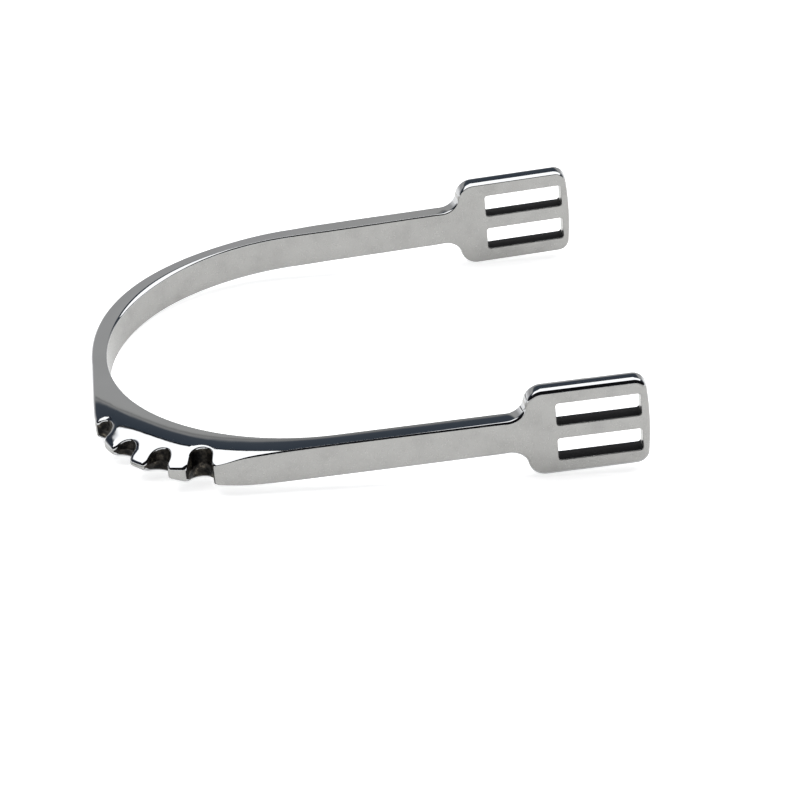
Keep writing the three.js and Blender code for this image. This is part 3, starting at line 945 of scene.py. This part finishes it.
def strap_plate(side):
    surface = Surface()
    half, half_normals = upper_half_outline()
    down = np.array([1.0, -1.0])
    outline = np.concatenate([half, half[-2::-1] * down])
    normals = np.concatenate([half_normals, half_normals[-2::-1] * down])
    share = smooth((outline[:, 0] - outline[0, 0]) / (NECK_LENGTH * 0.75))[:, None]
    inner_edge = between(NECK_INNER_EDGE, PLATE_INNER_EDGE, share)
    outer_edge = between(NECK_OUTER_EDGE, PLATE_OUTER_EDGE, share)
    crest = np.full(len(outline), BRANCH_THICKNESS if side > 0 else 0.0)
    neck_radius, plate_radius = LEFT_CROWNS if side > 0 else RIGHT_CROWNS
    bend = between(1 / neck_radius, 1 / plate_radius, share[:, 0])
    sheet, sheet_n = edge_sheet(outline, normals, inner_edge, outer_edge, crest, bend)
    sheet[..., 0] += slot_start
    surface.grid(arm_to_plan(sheet, side), arm_turn(sheet_n, side), edge_finish(sheet_n))
    slots = []
    for number, bottom in enumerate((SLOT_BAR / 2, -SLOT_BAR / 2 - SLOT_HEIGHT)):
        seed = SEED + 10 * number + (100 if side > 0 else 0)
        points, slot_normals, finish = slot_sheet(bottom, seed)
        points[..., 0] += slot_start
        slots.append(points)
        surface.grid(arm_to_plan(points, side), arm_turn(slot_normals, side), finish, closed=True)
    neck_rows = np.linspace(-1.0, 1.0, 7)[1:-1]
    for column, across, outward in ((0, 0.0, -1.0), (-1, BRANCH_THICKNESS, 1.0)):
        edge = sheet[:, column]
        loop = np.concatenate([edge, at_heights(edge[0], neck_rows)])
        holes = [points[:, column] for points in slots]
        found, triangles = fill(loop[:, [0, 2]], [hole[:, [0, 2]] for hole in holes], [])
        flat = np.stack([found[:, 0], np.full(len(found), across), found[:, 1]], axis=-1)
        flat[:len(loop)] = loop
        first = len(loop)
        for hole in holes:
            flat[first:first + len(hole)] = hole
            first += len(hole)
        face_n = np.broadcast_to([0.0, outward, 0.0], flat.shape)
        surface.triangles(arm_to_plan(flat, side), arm_turn(face_n, side), triangles, SATIN)
    surface.cap(arm_to_plan(end_loop(sheet[0], neck_rows[::-1]), side),
                arm_turn([-1.0, 0.0, 0.0], side), SATIN)
    return surface


# ---- materials -------------------------------------------------------------------------------

class Nodes:
    """Short names for the nodes of one shader tree."""

    def __init__(self, tree):
        self.tree = tree
        self.coordinates = self.add("ShaderNodeTexCoord").outputs

    def add(self, kind, **settings):
        node = self.tree.nodes.new(kind)
        for key, value in settings.items():
            setattr(node, key, value)
        return node

    def set(self, node, socket, value):
        if isinstance(value, bpy.types.NodeSocket):
            self.tree.links.new(value, node.inputs[socket])
        else:
            node.inputs[socket].default_value = value

    def noise(self, per_mm, detail=3.0, rough=0.55, stretch=(1.0, 1.0, 1.0)):
        """Cloudy noise with about per_mm waves in a millimetre."""
        mapping = self.add("ShaderNodeMapping")
        self.set(mapping, "Vector", self.coordinates["Object"])
        self.set(mapping, "Scale", tuple(per_mm / MM * k for k in stretch))
        noise = self.add("ShaderNodeTexNoise")
        self.set(noise, "Vector", mapping.outputs["Vector"])
        self.set(noise, "Scale", 1.0)
        self.set(noise, "Detail", detail)
        self.set(noise, "Roughness", rough)
        return noise.outputs["Fac"]

    def math(self, operation, first, second=0.0):
        node = self.add("ShaderNodeMath", operation=operation)
        self.set(node, 0, first)
        self.set(node, 1, second)
        return node.outputs[0]

    def spread(self, value, low, high, start=0.3, end=0.7, interpolation="LINEAR"):
        """Maps start..end of a value to low..high."""
        node = self.add("ShaderNodeMapRange", interpolation_type=interpolation)
        for socket, number in (("Value", value), ("From Min", start), ("From Max", end),
                               ("To Min", low), ("To Max", high)):
            self.set(node, socket, number)
        return node.outputs["Result"]

    def colours(self, value, *stops):
        ramp = self.add("ShaderNodeValToRGB")
        self.set(ramp, "Fac", value)
        elements = ramp.color_ramp.elements
        for i, (position, colour) in enumerate(stops):
            element = elements[i] if i < 2 else elements.new(position)
            element.position = position
            element.color = (*colour, 1.0)
        return ramp.outputs["Color"]

    def bump(self, height, distance_mm, strength=1.0, before=None):
        node = self.add("ShaderNodeBump")
        self.set(node, "Height", height)
        self.set(node, "Distance", distance_mm * MM)
        self.set(node, "Strength", strength)
        if before is not None:
            self.set(node, "Normal", before)
        return node.outputs["Normal"]


class MaterialNodes(Nodes):
    """The nodes of a new material round its own shader."""

    def __init__(self, name):
        self.material = bpy.data.materials.new(name)
        self.material.use_nodes = True
        super().__init__(self.material.node_tree)
        self.shader = self.tree.nodes["Principled BSDF"]

    def finish(self, **sockets):
        for socket, value in sockets.items():
            self.set(self.shader, socket.replace("_", " "), value)
        return self.material


def polished_steel(name, tint):
    """Buffed stainless steel: faint waves and hairline scratches in a mirror."""
    n = MaterialNodes(name)
    cloud = n.noise(0.10, 2.0)
    hairs = n.noise(0.9, 2.0, stretch=(0.12, 1.0, 1.0))
    low = tuple(0.94 * k for k in tint)
    return n.finish(
        Base_Color=n.colours(cloud, (0.3, low), (0.7, tint)),
        Metallic=1.0,
        Roughness=n.spread(hairs, 0.025, 0.055),
        Normal=n.bump(n.noise(0.25, 1.0), 0.012, 0.35, n.bump(hairs, 0.002, 0.25)),
    )


def satin_steel(name, tint):
    """Fine-ground stainless steel: mottled, softly brushed, with small darker specks."""
    n = MaterialNodes(name)
    cloud = n.noise(0.22, 4.0, 0.6)
    grain = n.noise(3.2, 2.0)
    brush = n.noise(2.6, 2.0, stretch=(0.10, 1.0, 1.0))
    dark = tuple(0.90 * k for k in tint)
    light = tuple(min(1.0, 1.05 * k) for k in tint)
    return n.finish(
        Base_Color=n.colours(cloud, (0.28, dark), (0.72, light), (0.5, tint)),
        Metallic=1.0,
        Roughness=n.spread(grain, 0.26, 0.36),
        Normal=n.bump(grain, 0.010, 0.30, n.bump(brush, 0.006, 0.30)),
    )


def cast_skin(name):
    """Dark, rough skin of the casting that no wheel has reached."""
    n = MaterialNodes(name)
    cloud = n.noise(0.7, 4.0, 0.65)
    pits = n.noise(2.2, 3.0, 0.6)
    return n.finish(
        Base_Color=n.colours(cloud, (0.40, (0.006, 0.006, 0.006)), (0.78, (0.24, 0.21, 0.165)),
                             (0.58, (0.038, 0.034, 0.029))),
        Metallic=0.9,
        Specular_IOR_Level=0.25,
        Roughness=n.spread(pits, 0.36, 0.62),
        Normal=n.bump(pits, 0.06, 0.8, n.bump(cloud, 0.14, 0.8)),
    )


def slot_painted_shade(name):
    """Near-black wall of a slot: painted shade in the slot."""
    n = MaterialNodes(name)
    pits = n.noise(2.6, 3.0, 0.6)
    return n.finish(
        Base_Color=n.colours(pits, (0.45, (0.004, 0.004, 0.005)), (0.80, (0.030, 0.029, 0.030))),
        Metallic=0.2,
        Specular_IOR_Level=0.1,
        Roughness=n.spread(pits, 0.45, 0.7),
        Normal=n.bump(pits, 0.03, 0.6),
    )


# ---- studio ----------------------------------------------------------------------------------

CAMERA_LENS = 150.7
CAMERA_AZIMUTH = math.radians(-7.62)
CAMERA_ELEVATION = math.radians(30.68)
CAMERA_ROLL = math.radians(-0.17)
CAMERA_DISTANCE = 664.2
CAMERA_AIM = (8.95, -7.12, -3.15)


def camera():
    data = bpy.data.cameras.new("camera")
    data.lens = CAMERA_LENS
    data.sensor_width = 36.0
    data.clip_start, data.clip_end = 0.01, 50.0
    shot = bpy.data.objects.new("camera", data)
    bpy.context.scene.collection.objects.link(shot)
    level = math.cos(CAMERA_ELEVATION)
    back = Vector((math.sin(CAMERA_AZIMUTH) * level, -math.cos(CAMERA_AZIMUTH) * level,
                   math.sin(CAMERA_ELEVATION)))
    shot.location = (Vector(CAMERA_AIM) + back * CAMERA_DISTANCE) * MM
    turn = (-back).to_track_quat("-Z", "Y").to_matrix() @ Matrix.Rotation(CAMERA_ROLL, 3, "Z")
    shot.rotation_euler = turn.to_euler()
    bpy.context.scene.camera = shot


def floor():
    size = 6.0
    mesh = bpy.data.meshes.new("floor")
    corners = [(-size, -size, 0.0), (size, -size, 0.0), (size, size, 0.0), (-size, size, 0.0)]
    mesh.from_pydata(corners, [], [(0, 1, 2, 3)])
    n = MaterialNodes("floor_paper")
    n.finish(Base_Color=n.colours(n.noise(0.02, 2.0), (0.3, (0.90, 0.90, 0.895)),
                                  (0.7, (0.92, 0.92, 0.915))),
             Roughness=0.9, Specular_IOR_Level=0.1,
             Emission_Color=(1.0, 1.0, 1.0, 1.0), Emission_Strength=0.70)
    mesh.materials.append(n.material)
    table = bpy.data.objects.new("floor", mesh)
    table.location.z = -0.03 * MM
    bpy.context.scene.collection.objects.link(table)


# Studio round the table as bands of light, by the angle from the far horizon over the top to the
# near horizon, in degrees, and the brightness and colour of each band
BANDS = (
    (0.0, (1.30, 1.30, 1.32)),
    (10.0, (1.00, 1.00, 1.02)),
    (18.0, (0.62, 0.62, 0.63)),
    (28.0, (0.66, 0.66, 0.66)),
    (33.0, (0.67, 0.67, 0.66)),
    (33.6, (0.32, 0.32, 0.32)),
    (34.4, (0.50, 0.50, 0.50)),
    (36.0, (0.10, 0.12, 0.15)),
    (45.8, (0.07, 0.09, 0.12)),
    (46.2, (0.005, 0.006, 0.008)),
    (47.2, (0.005, 0.006, 0.008)),
    (47.8, (0.055, 0.070, 0.095)),
    (96.0, (0.045, 0.055, 0.075)),
    (98.0, (0.010, 0.010, 0.012)),
    (165.0, (0.012, 0.012, 0.014)),
    (180.0, (0.05, 0.05, 0.05)),
)
SOFTBOX_BAND = (47.3, 97.0)  # the same angle, where the softbox begins and ends
SOFTBOX_SLANT = 0.02  # its left side moves out by this much for each degree upwards
SOFTBOX_SIDES = (-0.59, 1.2)  # sideways direction over the distance from the X axis
SOFTBOX_LIGHT = 3.2


def world():
    scene_world = bpy.data.worlds.new("studio")
    bpy.context.scene.world = scene_world
    scene_world.use_nodes = True
    scene_world.node_tree.nodes.clear()
    n = Nodes(scene_world.node_tree)

    def step(value, edge, width):
        return n.spread(value, 0.0, 1.0, edge - width, edge + width, "SMOOTHSTEP")

    split = n.add("ShaderNodeSeparateXYZ")
    n.set(split, 0, n.coordinates["Generated"])
    x, y, z = split.outputs
    angle = n.math("MULTIPLY", n.math("ARCTAN2", z, y), 180.0 / math.pi)
    squares = n.math("ADD", n.math("MULTIPLY", y, y), n.math("MULTIPLY", z, z))
    aside = n.math("DIVIDE", x, n.math("SQRT", squares))
    bands = [(degrees / 180.0, colour) for degrees, colour in BANDS]
    start, end = SOFTBOX_BAND
    left, right = SOFTBOX_SIDES
    over = n.math("SUBTRACT", step(angle, start, 0.3), step(angle, end, 0.5))
    above = n.math("SUBTRACT", angle, start)
    slanted = n.math("ADD", aside, n.math("MULTIPLY", above, SOFTBOX_SLANT))
    beside = n.math("SUBTRACT", step(slanted, left, 0.02), step(aside, right, 0.05))
    room = n.add("ShaderNodeBackground")
    n.set(room, "Color", n.colours(n.math("DIVIDE", angle, 180.0), *bands))
    lamp = n.add("ShaderNodeBackground")
    n.set(lamp, "Strength", n.math("MULTIPLY", n.math("MULTIPLY", over, beside), SOFTBOX_LIGHT))
    both = n.add("ShaderNodeAddShader")
    n.set(both, 0, room.outputs[0])
    n.set(both, 1, lamp.outputs[0])
    n.set(n.add("ShaderNodeOutputWorld"), "Surface", both.outputs[0])


# ---- assembly --------------------------------------------------------------------------------

def standing_place():
    """Where the U's plan lies in the frame: the tilt at which heel and plates rest, and the
    position that puts the left plate's mount where the record has it."""
    length = (heel_end[0] + (slot_start - SHOULDER_START) * math.cos(TOE_OUT)
              + HEEL_THICKNESS - EDGE_RADIUS)
    drop = PLATE_HEIGHT / 2 - SHOULDER_RADIUS - HEEL_HEIGHT / 2
    tilt = math.atan2(drop, length) + math.asin(SHOULDER_RADIUS / math.hypot(drop, length))
    turn = Matrix.Rotation(-tilt, 4, "Y")
    mount = next(m for m in frame["record"]["mounts"] if m["name"] == "left_plate_inner_face")
    here = turn @ Vector(arm_to_plan([slot_start - 3.0, 0.0, 0.0], 1.0))
    return Matrix.Translation(Vector(mount["pos_m"]) / MM - here) @ turn


def add_piece(name, node, surface, place, materials):
    mesh = surface.mesh(name, place)
    for material in materials:
        mesh.materials.append(material)
    piece = bpy.data.objects.new(name, mesh)
    bpy.context.scene.collection.objects.link(piece)
    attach(piece, "root")
    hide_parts(node)


def build():
    place = standing_place()
    bright = polished_steel("polished_steel", (0.41, 0.415, 0.42))
    ground = satin_steel("satin_steel", (0.312, 0.310, 0.301))
    finishes = (bright, ground, cast_skin("cast_skin"), slot_painted_shade("slot_painted_shade"))
    add_piece("heel_band_steel", "heel_band", heel_band(), place, finishes)
    for name, side in (("left", 1.0), ("right", -1.0)):
        add_piece(f"{name}_branch_steel", f"{name}_branch", branch(side), place,
                  finishes)
        add_piece(f"{name}_strap_plate_steel", f"{name}_strap_plate", strap_plate(side), place,
                  finishes)


bpy.context.scene.view_settings.view_transform = "Standard"
camera()
floor()
world()
build()
